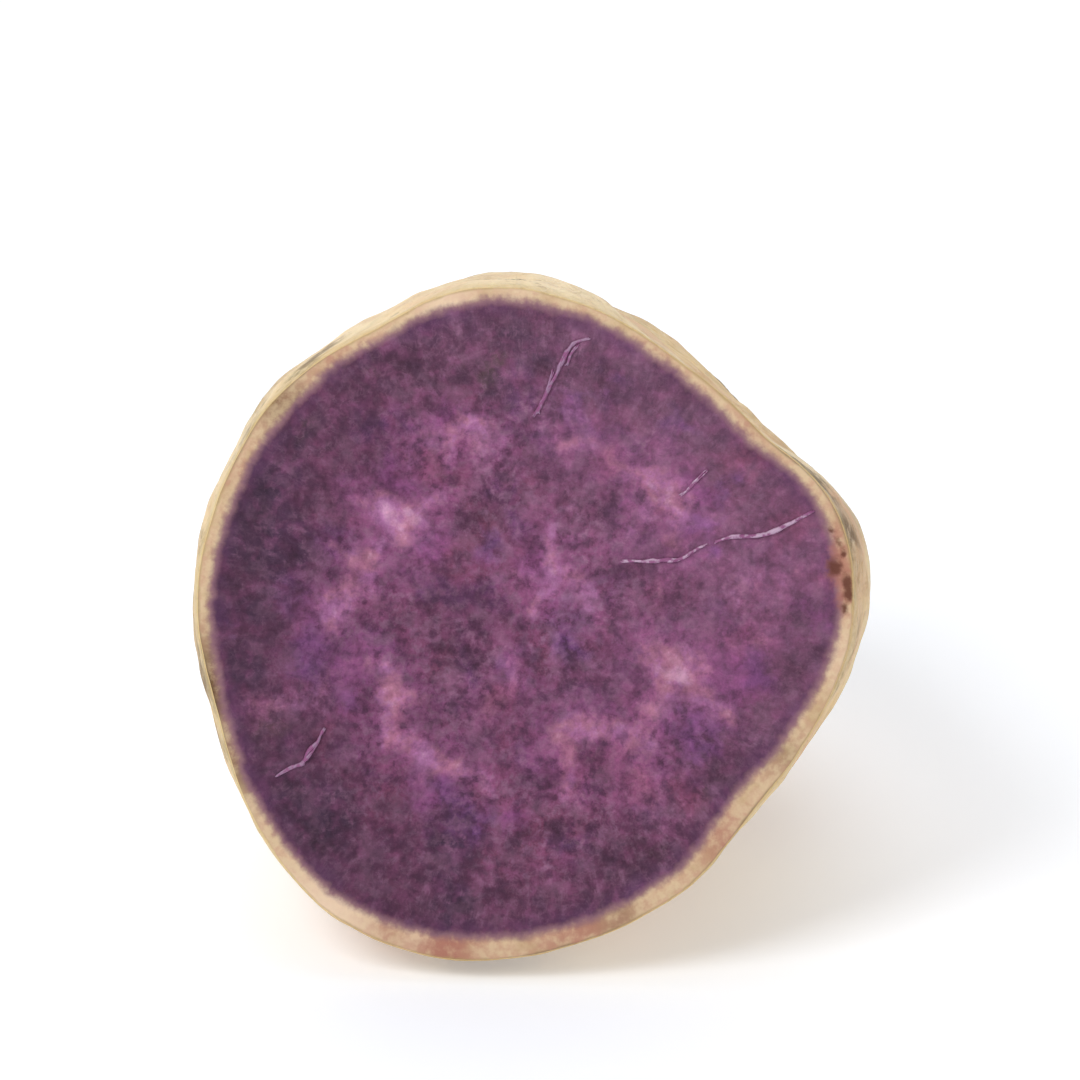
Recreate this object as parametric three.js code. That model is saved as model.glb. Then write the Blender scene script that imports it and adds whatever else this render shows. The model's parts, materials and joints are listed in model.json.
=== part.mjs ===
// A purple sweet potato, cut across, lying on its side.
//
// It is one natural piece: a pale tuber, sliced flat through its thickest part and left with its root
// end, a short dried root stub. The cut face looks along -Y and leans back a little, as it does when
// the half rests on its belly, and the body tapers away along +Y. Millimetres, +Z up. The origin is on
// the surface that it lies on, under the middle of its bounding box.
import * as THREE from "three";

// Driving dimensions.
const BODY_LENGTH = 82; // from the cut face to the rounded end, where the stub begins
const WIDEST_AT = 15; // depth behind the face of the thickest section
const SWELL = 1.025; // that section's radius, as a share of the face's
const TAPER_POWER = 2.15; // how long the body stays full before it closes in
const STUB_LENGTH = 7; // the dried root that is left on the end
const STUB_RADIUS = 2.9;
const STUB_FLARE = 1.1; // how much wider than that it is where it grows out of the body
const STUB_FILLET = 2.4; // length over which the flare dies away
const STUB_TAPER = 0.15; // the share by which it narrows to its tip
const LEAN_DEG = 17; // how far the cut face leans back from upright

// The rim of the cut face: its radius every 20 degrees, anticlockwise from +X, seen from the front.
const RIM_RADII = [
  37.3, 37.6, 34.2, 34.2, 36.4, 38.3, 37.4, 38.3, 38.3, 38.2, 37.8, 40.0, 41.9, 40.8, 38.4, 36.6, 34.3, 35.5,
];

// Behind the face the section grows rounder: between these depths it turns into a circle of this radius.
const INNER_RADIUS = 38;
const RIM_HOLDS_TO = 8;
const RIM_FADES_BY = 76;

// The belly, which it rests on, is flattened: a shallow flat of this height is centred on this angle,
// spans about that much each way, and is whole from this depth on.
const BELLY_FLAT = 7.5;
const BELLY_ANGLE = 264;
const BELLY_SPAN = 46;
const BELLY_FROM = 34;

// The tuber's middle line: it leaves the face a little down and to the left, because the cut is slightly
// oblique, and bends back up and to the right by these amounts at its end.
const LEAVES_X = -0.06;
const LEAVES_Z = -0.045;
const BENDS_X = 10;
const BENDS_Z = 7;

// Broad swellings (+) and hollows (-): angle round the tuber, depth, spread each way and height.
const SWELLINGS = [
  { angle: 150, depth: 46, across: 14, along: 15, height: 2 },
  { angle: 205, depth: 24, across: 12, along: 14, height: 1.4 },
  { angle: 335, depth: 48, across: 14, along: 17, height: 2 },
  { angle: 85, depth: 60, across: 12, along: 10, height: 1.4 },
  { angle: 240, depth: 68, across: 12, along: 9, height: 1.2 },
  { angle: 52, depth: 28, across: 14, along: 20, height: -2.6 },
  { angle: 6, depth: 17, across: 9, along: 9, height: 1.7 },
  { angle: 84, depth: 18, across: 9, along: 10, height: 1.1 },
  { angle: 112, depth: 70, across: 6, along: 13, height: -1.6 },
  { angle: 24, depth: 66, across: 8, along: 12, height: -1.6 },
];

// Eyes: small dents, wider than they are long, where side roots grew.
const EYES = [
  { angle: 78, depth: 24, across: 4.2, along: 2.6, height: -1.3 },
  { angle: 40, depth: 43, across: 3.8, along: 2.5, height: -1.2 },
  { angle: 118, depth: 40, across: 4.4, along: 2.8, height: -1.4 },
  { angle: 172, depth: 31, across: 3.8, along: 2.5, height: -1.2 },
  { angle: 190, depth: 60, across: 3.4, along: 2.4, height: -1 },
  { angle: 4, depth: 30, across: 4, along: 2.6, height: -1.3 },
  { angle: 330, depth: 66, across: 3.4, along: 2.4, height: -1 },
  { angle: 232, depth: 40, across: 3.8, along: 2.5, height: -1.1 },
];

// Mesh steps.
const ROUND = 96; // steps round the tuber
const FACE_RINGS = 2;
const BODY_RINGS = 40;
const STUB_RINGS = 6;

const radians = THREE.MathUtils.degToRad;
const smooth = (x, from, to) => THREE.MathUtils.smoothstep(x, from, to);

// The rim's radius at any angle, as a smooth closed curve through RIM_RADII.
function rimRadius(angle) {
  const count = RIM_RADII.length;
  const turn = THREE.MathUtils.euclideanModulo(angle, 2 * Math.PI) / (2 * Math.PI) * count;
  const first = Math.floor(turn);
  const t = turn - first;
  const at = (k) => RIM_RADII[(first + k + count) % count];
  const [a, b, c, d] = [at(-1), at(0), at(1), at(2)];
  return b + 0.5 * t * (c - a + t * (2 * a - 5 * b + 4 * c - d + t * (3 * (b - c) + d - a)));
}

// The angle between two directions, from -180 to 180 degrees.
function turnBetween(a, b) {
  return THREE.MathUtils.euclideanModulo(a - b + 180, 360) - 180;
}

// The tuber's radius at an angle and depth, where it is at its full share of the face's.
function sectionRadius(angle, depth) {
  const rounder = smooth(depth, RIM_HOLDS_TO, RIM_FADES_BY);
  const off = turnBetween(THREE.MathUtils.radToDeg(angle), BELLY_ANGLE) / BELLY_SPAN;
  const flat = BELLY_FLAT * Math.exp(-off * off) * smooth(depth, 0, BELLY_FROM);
  return THREE.MathUtils.lerp(rimRadius(angle), INNER_RADIUS, rounder) - flat;
}

// The share of the face's radius that the body has at a depth: a slight swell, then a rounded taper.
function fullness(depth) {
  if (depth <= WIDEST_AT) {
    const before = (WIDEST_AT - depth) / WIDEST_AT;
    return SWELL - (SWELL - 1) * before * before;
  }
  const past = (depth - WIDEST_AT) / (BODY_LENGTH - WIDEST_AT);
  return SWELL * Math.sqrt(Math.max(0, 1 - Math.pow(past, TAPER_POWER)));
}

// The share of the face's radius that the root stub has at a depth, flared where it meets the body.
function stubShare(depth) {
  const out = Math.max(0, depth - BODY_LENGTH);
  const flare = STUB_FLARE * Math.exp(-out / STUB_FILLET);
  const taper = 1 - STUB_TAPER * Math.pow(out / STUB_LENGTH, 2);
  return (STUB_RADIUS / INNER_RADIUS) * (taper + flare);
}

// The profile that is turned about the tuber's middle line, as (share of the face's radius, depth):
// out across the cut face, back along the body, closer together towards its rounded end, and out along
// the stub to its tip. The stub grows out of the body without a crease.
function profile() {
  const points = [];
  for (let ring = 0; ring <= FACE_RINGS; ring++) {
    points.push(new THREE.Vector2(ring / FACE_RINGS, 0));
  }
  for (let ring = 1; ring <= BODY_RINGS; ring++) {
    const depth = BODY_LENGTH * Math.sin((ring / BODY_RINGS) * Math.PI / 2);
    points.push(new THREE.Vector2(Math.cbrt(fullness(depth) ** 3 + stubShare(depth) ** 3), depth));
  }
  for (let ring = 1; ring <= STUB_RINGS; ring++) {
    const depth = BODY_LENGTH + (STUB_LENGTH * ring) / STUB_RINGS;
    points.push(new THREE.Vector2(stubShare(depth), depth));
  }
  points.push(new THREE.Vector2(0, BODY_LENGTH + STUB_LENGTH + 0.6));
  return points;
}

// How far the bumps lift the surface at an angle and depth, where the surface is `radius` from the middle.
function lift(angle, depth, radius) {
  let sum = 0;
  for (const bump of [...SWELLINGS, ...EYES]) {
    const across = radians(turnBetween(THREE.MathUtils.radToDeg(angle), bump.angle)) * radius / bump.across;
    const along = (depth - bump.depth) / bump.along;
    sum += bump.height * Math.exp(-(across * across + along * along) / 2);
  }
  return sum;
}

// Moves one vertex of the turned profile to its place on the tuber.
function place(vertex) {
  const share = Math.hypot(vertex.x, vertex.z);
  const angle = Math.atan2(vertex.z, vertex.x);
  const depth = vertex.y;
  let radius = share * sectionRadius(angle, depth);
  if (depth > 0 && depth < BODY_LENGTH) {
    const fromEnds = smooth(depth, 0, 6) * (1 - smooth(depth, BODY_LENGTH - 10, BODY_LENGTH - 3));
    radius += lift(angle, depth, radius) * fromEnds;
  }
  const bend = Math.pow(depth / BODY_LENGTH, 2);
  return vertex.set(
    radius * Math.cos(angle) + LEAVES_X * depth + BENDS_X * bend,
    depth,
    radius * Math.sin(angle) + LEAVES_Z * depth + BENDS_Z * bend,
  );
}

function tuberGeometry() {
  const geometry = new THREE.LatheGeometry(profile(), ROUND);
  const positions = geometry.getAttribute("position");
  const vertex = new THREE.Vector3();
  for (let i = 0; i < positions.count; i++) {
    place(vertex.fromBufferAttribute(positions, i));
    positions.setXYZ(i, vertex.x, vertex.y, vertex.z);
  }
  geometry.computeVertexNormals();
  return geometry;
}

const skin = new THREE.MeshStandardMaterial({ color: 0xdcc195, roughness: 0.75, metalness: 0 });

const half = new THREE.Mesh(tuberGeometry(), skin);
half.name = "sweet_potato_half";
half.rotation.x = -radians(LEAN_DEG);
half.updateMatrixWorld(true);

// Set it down: lowest point at z = 0, and the middle of its box over the origin.
const box = new THREE.Box3().setFromObject(half, true);
const middle = box.getCenter(new THREE.Vector3());
half.position.set(-middle.x, -middle.y, -box.min.z);

const part = new THREE.Group();
part.name = "purple_sweet_potato";
part.add(half);

export default part;
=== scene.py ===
import json
import math
import random

import bmesh
import bpy
from mathutils import Matrix, Vector, kdtree, noise


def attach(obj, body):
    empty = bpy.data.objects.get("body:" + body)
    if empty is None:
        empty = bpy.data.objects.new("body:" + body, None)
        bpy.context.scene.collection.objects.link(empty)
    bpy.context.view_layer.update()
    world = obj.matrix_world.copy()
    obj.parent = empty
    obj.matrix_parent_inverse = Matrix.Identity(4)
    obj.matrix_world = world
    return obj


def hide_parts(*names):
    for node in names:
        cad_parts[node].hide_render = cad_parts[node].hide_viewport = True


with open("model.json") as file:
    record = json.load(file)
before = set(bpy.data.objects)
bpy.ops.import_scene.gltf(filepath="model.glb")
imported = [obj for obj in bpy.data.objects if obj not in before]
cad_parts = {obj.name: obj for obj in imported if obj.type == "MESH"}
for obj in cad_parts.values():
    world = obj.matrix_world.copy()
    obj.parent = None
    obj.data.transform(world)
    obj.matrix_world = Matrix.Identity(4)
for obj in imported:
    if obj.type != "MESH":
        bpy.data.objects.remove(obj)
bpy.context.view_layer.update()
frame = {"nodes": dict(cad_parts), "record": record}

# The cut face's middle and outward direction come from the CAD. Shapes are made in the tuber's own
# space, in millimetres: x to the right across the face, y back along the tuber, z up the face.
cutFace = frame["record"]["mounts"][0]
faceOut = Vector(cutFace["axis"]).normalized()
faceRight = Vector((1, 0, 0))
faceUp = faceRight.cross(-faceOut)
facePlace = Matrix.Translation(cutFace["pos_m"])
faceTurn = Matrix((faceRight, -faceOut, faceUp)).transposed()
fromTuber = facePlace @ faceTurn.to_4x4() @ Matrix.Scale(0.001, 4)
toTuber = fromTuber.inverted()

tuber = {
    "bodyLength": 82.0,        # the cut face to the rounded end, as in the CAD
    "stubLength": 7.0,
    "leaves": (-0.06, -0.045), # how the middle line leaves the face, right and up for each mm back
    "bends": (10.0, 7.0),      # and how far it has bent back by the rounded end
    "noiseSeat": (31.7, 12.3, 47.9),   # a noise has a star at its origin, so the cut's noises sit elsewhere
    "noiseSeed": 4,
}

noise.seed_set(tuber["noiseSeed"])     # or else the vector noises follow the clock


def middleAt(depth):
    share = (depth / tuber["bodyLength"]) ** 2
    (leaveX, leaveZ), (bendX, bendZ) = tuber["leaves"], tuber["bends"]
    return Vector((leaveX * depth + bendX * share, depth, leaveZ * depth + bendZ * share))


def smoothStep(value, low, high):
    t = min(1.0, max(0.0, (value - low) / (high - low)))
    return t * t * (3 - 2 * t)


def mix(a, b, share):
    return a + (b - a) * share


def meshFrom(bm, name):
    mesh = bpy.data.meshes.new(name)
    bm.to_mesh(mesh)
    bm.free()
    return mesh


def addObject(name, data):
    thing = bpy.data.objects.new(name, data)
    bpy.context.scene.collection.objects.link(thing)
    return thing


# Node helpers

def linear(colour):
    parts = [int(colour[i:i + 2], 16) / 255 for i in (1, 3, 5)]
    return (*[p / 12.92 if p <= 0.04045 else ((p + 0.055) / 1.055) ** 2.4 for p in parts], 1)


def setInputs(tree, node, inputs):     # links a socket, and sets a plain value or a colour
    for key, value in inputs.items():
        if isinstance(value, bpy.types.NodeSocket):
            tree.links.new(value, node.inputs[key])
        else:
            node.inputs[key].default_value = linear(value) if isinstance(value, str) else value


def addNode(tree, kind, inputs=None, **settings):
    node = tree.nodes.new(kind)
    for name, value in settings.items():
        setattr(node, name, value)
    setInputs(tree, node, inputs or {})
    return node


def calc(tree, operation, a, b=0.0, c=0.0):
    return addNode(tree, "ShaderNodeMath", {0: a, 1: b, 2: c}, operation=operation).outputs[0]


def times(tree, a, b):
    return calc(tree, "MULTIPLY", a, b)


def plus(tree, total, *others):
    for value in others:
        total = calc(tree, "ADD", total, value)
    return total


def centred(tree, value, size):        # a noise made to sway either way, by up to half the size
    return calc(tree, "MULTIPLY_ADD", value, size, -size / 2)


def fade(tree, value, low, high, start=0.0, end=1.0):     # smooth, from start at low to end at high
    inputs = {"Value": value, "From Min": low, "From Max": high, "To Min": start, "To Max": end}
    return addNode(tree, "ShaderNodeMapRange", inputs, interpolation_type="SMOOTHSTEP").outputs[0]


def grain(tree, where, scale, detail=2.0, roughness=0.5, warp=0.0):
    inputs = {"Vector": where, "Scale": scale, "Detail": detail, "Roughness": roughness, "Distortion": warp}
    return addNode(tree, "ShaderNodeTexNoise", inputs).outputs["Fac"]


def crackedCells(tree, where, scale):  # the distance to the nearest border between random cells
    inputs = {"Vector": where, "Scale": scale}
    return addNode(tree, "ShaderNodeTexVoronoi", inputs, feature="DISTANCE_TO_EDGE").outputs["Distance"]


def warped(tree, where, scale, amount):    # pushed about by a noise, by up to about half the amount
    inputs = {"Vector": where, "Scale": scale, "Detail": 2.0}
    push = addNode(tree, "ShaderNodeTexNoise", inputs).outputs["Color"]
    inputs = {0: push, 1: (amount, amount, amount), 2: (-amount / 2, -amount / 2, -amount / 2)}
    push = addNode(tree, "ShaderNodeVectorMath", inputs, operation="MULTIPLY_ADD").outputs[0]
    return addNode(tree, "ShaderNodeVectorMath", {0: where, 1: push}, operation="ADD").outputs[0]


def threads(tree, where, size, width): # thin lines that wander and fork, where a noise is at its middle
    level = grain(tree, where, size, 3, 0.55, 0.8)
    return fade(tree, calc(tree, "ABSOLUTE", calc(tree, "SUBTRACT", level, 0.5)), width, width * 0.2)


def stretched(tree, where, scale, turn=(0, 0, 0)):
    inputs = {"Vector": where, "Scale": scale, "Rotation": turn}
    return addNode(tree, "ShaderNodeMapping", inputs).outputs[0]


def tint(tree, amount, under, over, blend="MIX"):
    inputs = {0: amount, 6: under, 7: over}
    return addNode(tree, "ShaderNodeMix", inputs, data_type="RGBA", blend_type=blend).outputs[2]


def coated(tree, colour, look, *rows): # rows of (mask, strength, colour's name), the first one lowest
    for mask, strength, name in rows:
        colour = tint(tree, times(tree, mask, strength), colour, look[name])
    return colour


def shaded(tree, colour, look, *rows): # the same for (value, none of it at, all of it at, strength, name)
    for value, low, high, strength, name in rows:
        colour = tint(tree, fade(tree, value, low, high, 0, strength), colour, look[name])
    return colour


def painted(tree, name):       # a value painted on the mesh's vertices
    return addNode(tree, "ShaderNodeAttribute", attribute_name=name).outputs["Fac"]


def tuberSpace(tree):          # Object coordinates turned into the tuber's own space, in mm
    inputs = {
        "Vector": addNode(tree, "ShaderNodeTexCoord").outputs["Object"],
        "Location": cutFace["pos_m"],
        "Rotation": faceTurn.to_euler(),
        "Scale": (0.001, 0.001, 0.001),
    }
    return addNode(tree, "ShaderNodeMapping", inputs, vector_type="TEXTURE").outputs[0]


def newMaterial(name):
    material = bpy.data.materials.new(name)
    material.use_nodes = True
    tree = material.node_tree
    tree.nodes.clear()
    shader = addNode(tree, "ShaderNodeBsdfPrincipled")
    output = addNode(tree, "ShaderNodeOutputMaterial")
    tree.links.new(shader.outputs[0], output.inputs[0])
    return material, tree, shader


def bumpFrom(tree, *layers):   # layers of (height, strength, distance in mm), the first one lowest
    normal = None
    for height, strength, distance in layers:
        inputs = {"Height": height, "Strength": strength, "Distance": distance / 1000}
        if normal is not None:
            inputs["Normal"] = normal
        normal = addNode(tree, "ShaderNodeBump", inputs).outputs[0]
    return normal


# The half tuber: its mesh

half = {
    "faceRings": (             # shares of the rim's radius, closest together near the rim
        0.985, 0.965, 0.945, 0.92, 0.885, 0.84, 0.78, 0.70, 0.61, 0.51, 0.41, 0.30, 0.19, 0.09, 0.03,
    ),
    "rimRound": 0.22,          # mm that the knife's edge is rounded by
    "cutDepth": 0.4,           # what lies nearer to the cut than this, in mm, belongs to it
    "levels": 2,
    "rimWave": 0.22,           # mm by which the rim wanders
    "swell": 0.60,             # broad unevenness of the skin, mm, and its size
    "swellSize": 11.0,
    "ripple": 0.16,            # finer unevenness
    "rippleSize": 4.0,
    "faceSag": 0.22,           # the cut flesh has dried in a little between its edge and middle
    "faceRipple": 0.07,
    "stubRidge": 0.42,         # the dried root's ridges and its ragged end
    "stubRagged": 1.5,
}


def onFace(vert):
    return abs(vert.co.y) < 0.01


def mergedCopy(nodeName):
    bm = bmesh.new()
    bm.from_mesh(frame["nodes"][nodeName].data)
    bm.transform(toTuber)
    bmesh.ops.remove_doubles(bm, verts=bm.verts, dist=0.01)
    return bm


def remakeFace(bm):            # rings that follow the rim, in place of the plain cut
    flat = [f for f in bm.faces if all(onFace(v) for v in f.verts)]
    bmesh.ops.delete(bm, geom=flat, context="FACES")
    loose = [v for v in bm.verts if not v.link_faces]
    bmesh.ops.delete(bm, geom=loose, context="VERTS")
    anyAngle = math.pi
    bmesh.ops.join_triangles(bm, faces=bm.faces, angle_face_threshold=anyAngle,
                             angle_shape_threshold=anyAngle)
    loop = [e for e in bm.edges if e.is_boundary]
    reached = 1.0
    for share in half["faceRings"]:
        made = bmesh.ops.extrude_edge_only(bm, edges=loop)["geom"]
        loop = [g for g in made if isinstance(g, bmesh.types.BMEdge)]
        ring = [g for g in made if isinstance(g, bmesh.types.BMVert)]
        bmesh.ops.scale(bm, verts=ring, vec=(share / reached, 1, share / reached))
        reached = share
    made = bmesh.ops.extrude_edge_only(bm, edges=loop)["geom"]
    ring = [g for g in made if isinstance(g, bmesh.types.BMVert)]
    bmesh.ops.pointmerge(bm, verts=ring, merge_co=(0, 0, 0))
    bmesh.ops.recalc_face_normals(bm, faces=bm.faces)


def roundRim(bm):              # the knife's edge, kept crisp through the subdivision
    flat = {f for f in bm.faces if all(onFace(v) for v in f.verts)}
    rim = [e for e in bm.edges if sum(f in flat for f in e.link_faces) == 1]
    made = bmesh.ops.bevel(bm, geom=rim, offset=half["rimRound"], offset_type="OFFSET", affect="EDGES",
                           segments=2, profile=0.5, material=-1)
    strip = set(made["faces"])
    crease = bm.edges.layers.float.new("crease_edge")
    for edge in bm.edges:
        if sum(f in strip for f in edge.link_faces) == 1:
            edge[crease] = 0.9


def subdivided(bm):
    mesh = meshFrom(bm, "halfBase")
    base = addObject("halfBase", mesh)
    smooth = base.modifiers.new("smooth", "SUBSURF")
    smooth.levels = smooth.render_levels = half["levels"]
    graph = bpy.context.evaluated_depsgraph_get()
    fine = bpy.data.meshes.new_from_object(base.evaluated_get(graph))
    bpy.data.objects.remove(base)
    bpy.data.meshes.remove(mesh)
    return fine


def rimRadii(mesh, steps=360): # the face's own radius in each direction
    radii = [0.0] * steps
    for vert in mesh.vertices:
        if abs(vert.co.y) < half["cutDepth"]:
            step = int(math.degrees(math.atan2(vert.co.z, vert.co.x)) % 360 * steps / 360) % steps
            radii[step] = max(radii[step], math.hypot(vert.co.x, vert.co.z))
    return [max(radii[(i + k) % steps] for k in (-1, 0, 1)) for i in range(steps)]


def towardAngle(ring, angle):  # the value in this direction, from a ring of evenly spaced ones
    place = angle % 360 * len(ring) / 360
    first = int(place)
    return mix(ring[first % len(ring)], ring[(first + 1) % len(ring)], smoothStep(place - first, 0, 1))


# The marks that the skin carries. Places are (angle round the tuber, mm behind the face).

marks = {
    "seed": 41,
    "eyes": ((78, 24), (40, 43), (118, 40), (172, 31), (190, 60), (4, 30), (330, 66), (232, 40)),
    "smallEyes": (
        (95, 58), (64, 54), (142, 16), (20, 55), (350, 44), (205, 44), (135, 68), (300, 30), (262, 62),
        (158, 52), (52, 70),
    ),
    "eyeSizes": ((3.2, 1.4, 0.4), (1.9, 0.95, 0.5)),       # large and small: mm across, mm along, turn
    "scabs": (                 # each with its size in mm, as for bruises and stains
        (46, 54, 5.2), (132, 52, 6.2), (98, 38, 2.6), (30, 68, 4.2), (186, 18, 5.0), (344, 24, 5.4),
        (214, 66, 4.2), (292, 54, 4.6), (158, 72, 3.6), (12, 2, 2.0), (16, 42, 3.4), (82, 68, 3.0),
    ),
    "bruises": (
        (16, 2, 6), (104, 30, 11), (350, 60, 12), (200, 34, 11), (60, 78, 8), (150, 44, 9), (22, 20, 8),
    ),
    "stains": ((84, 50, 9), (150, 30, 8), (30, 30, 7), (320, 44, 10), (240, 20, 9), (8, 2, 4)),
    "flakes": ((42, 56.5), (347, 22)),     # bits of cream skin still standing in a scab
    "flakeSize": (1.5, 0.55),
    "pits": 38,                # small dark pits, now and then in twos
    "pitSize": (0.45, 1.0),
    "slashes": 12,             # short dark splits
    "slashSize": (1.8, 3.4),
    "slashWidth": 0.5,
    "edgeShades": (            # painted shade on the skin next to the cut, where it turns away at the outline: angle, spread, strength
        (29, 6, 1.0), (16, 5, 0.8), (134, 6, 0.8), (149, 5, 0.6), (168, 5, 0.5), (192, 8, 1.0),
        (207, 6, 0.7), (349, 6, 0.6), (104, 4, 0.3), (262, 12, 0.6), (312, 7, 0.6),
    ),
    "edgeReach": (4, 17),      # whole up to so many mm behind the cut, and gone by so many
}


def alongRim(angle, patches):  # how strong the strongest of the patches is in this direction
    strongest = 0.0
    for patchAngle, spread, strength in patches:
        off = ((angle - patchAngle + 180) % 360 - 180) / spread
        strongest = max(strongest, strength * math.exp(-off * off))
    return strongest


def surfacePoint(tree, angle, depth):      # the vertex of the skin that lies there
    middle = middleAt(depth)
    turn = math.radians(angle)
    outward = Vector((math.cos(turn), 0, math.sin(turn)))
    found = [tree.find(middle + outward * step) for step in range(20, 48)]    # walks out, a mm at a time
    return min(found, key=lambda hit: hit[2])[1]


def listMarks(tree):           # rows of (kind, vertex, mm across, mm along, turn)
    chance = random.Random(marks["seed"])
    found = []

    def mark(kind, angle, depth, across, along, turn):
        found.append((kind, surfacePoint(tree, angle, depth), across, along, turn))

    for places, (across, along, turn) in zip((marks["eyes"], marks["smallEyes"]), marks["eyeSizes"]):
        for angle, depth in places:
            mark("eye", angle, depth, across, along, chance.uniform(-turn, turn))
    for kind in ("scab", "bruise", "stain"):
        for angle, depth, size in marks[kind + "s"]:
            mark(kind, angle, depth, size, size * chance.uniform(0.55, 0.85), chance.uniform(-0.7, 0.7))
    for angle, depth in marks["flakes"]:
        mark("flake", angle, depth, *marks["flakeSize"], chance.uniform(0.4, 1.3))
    for count in range(marks["pits"]):
        angle, depth = chance.uniform(0, 360), chance.uniform(5, 78)
        for lobe in range(chance.choice((1, 1, 1, 2))):
            size = chance.uniform(*marks["pitSize"])
            mark("pit", angle, depth, size, size * chance.uniform(0.35, 0.65), chance.uniform(-0.8, 0.8))
            angle += chance.choice((-1, 1)) * chance.uniform(1.6, 4.2)
            depth += chance.uniform(-2.2, 2.2)
    for count in range(marks["slashes"]):
        mark("slash", chance.uniform(0, 360), chance.uniform(8, 74), chance.uniform(*marks["slashSize"]),
             marks["slashWidth"], chance.uniform(-0.9, 0.9))
    return found


def markHere(kind, place, centre, a, b, across):   # the mm that a mark lifts the skin, and what it paints
    reach = math.exp(-(a * a + b * b) / 1.1)
    if kind == "eye":
        slit = math.exp(-(a * a) / 0.7 - (b + 0.45 * a * a) ** 2 * 2.6)
        lip = math.exp(-(a * a) / 0.9 - (b - 0.95 + 0.45 * a * a) ** 2 * 2.2)
        paint = {"scab": max(0.8 * slit, 0.5 * reach), "pit": slit ** 2 * 0.75}
        return (-0.17 * slit + 0.10 * lip) * across, paint
    if kind == "scab":
        rough = noise.noise(place * 0.9) + 0.7 * noise.noise(place * 1.9)
        return reach * (0.16 * rough - 0.05), {"scab": reach * (0.8 + 0.4 * noise.noise(centre * 3.1))}
    if kind == "pit":
        return -0.30 * reach * across, {"pit": 0.85 * reach, "scab": 0.45 * reach ** 0.5}
    if kind == "slash":
        taper = math.exp(-(a * a) ** 2 - b * b * (1 + a * a))
        return -0.2 * taper, {"pit": 0.9 * taper, "scab": 0.35 * reach}
    raised = {"flake": 0.22, "bruise": -0.25, "stain": 0.0}
    return raised[kind] * reach, {kind: reach}


def paintMarks(mesh, values):  # every mark dents or roughens the skin and paints its own attributes
    tree = kdtree.KDTree(len(mesh.vertices))
    for vert in mesh.vertices:
        tree.insert(vert.co, vert.index)
    tree.balance()
    lift = [0.0] * len(mesh.vertices)
    for kind, index, across, along, turn in listMarks(tree):
        centre = mesh.vertices[index].co.copy()
        normal = mesh.vertices[index].normal.copy()
        back = (Vector((0, 1, 0)) - normal * normal.y).normalized()
        back.rotate(Matrix.Rotation(turn, 3, normal))
        side = normal.cross(back)
        for place, near, _ in tree.find_range(centre, across * 3.0):
            if place.y < 0.3:                      # the cut is left alone
                continue
            offset = place - centre
            wobble = noise.noise_vector(place * 0.35) * min(3.0, across * 0.6)
            wobble += noise.noise_vector(place * 1.1) * min(1.3, across * 0.35)
            a = (offset.dot(side) + wobble.x) / across
            b = (offset.dot(back) + wobble.y) / along
            raised, paint = markHere(kind, place, centre, a, b, across)
            lift[near] += raised
            for name, amount in paint.items():
                values[name][near] = max(values[name][near], min(1.0, amount))
    return lift


# painted shade on the skin just behind the cut, in the directions that the marks list
def paintEdgeShade(mesh, values):
    whole, gone = marks["edgeReach"]
    for vert in mesh.vertices:
        if vert.co.y > 0.1:
            drift = noise.noise_vector(vert.co * 0.09)
            angle = math.degrees(math.atan2(vert.co.z, vert.co.x))
            angle += 11 * drift.x * smoothStep(vert.co.y, 0, 6)
            back = 1 - smoothStep(vert.co.y * (1 + 0.9 * drift.y), whole, gone)
            values["edgeShade"][vert.index] = back * alongRim(angle, marks["edgeShades"])


# The flesh's pattern on the cut face: pale strokes that branch and curl round darker pockets, in flesh
# that is rosy, violet or slate by turns. Places are in mm from the face's middle.

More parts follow.
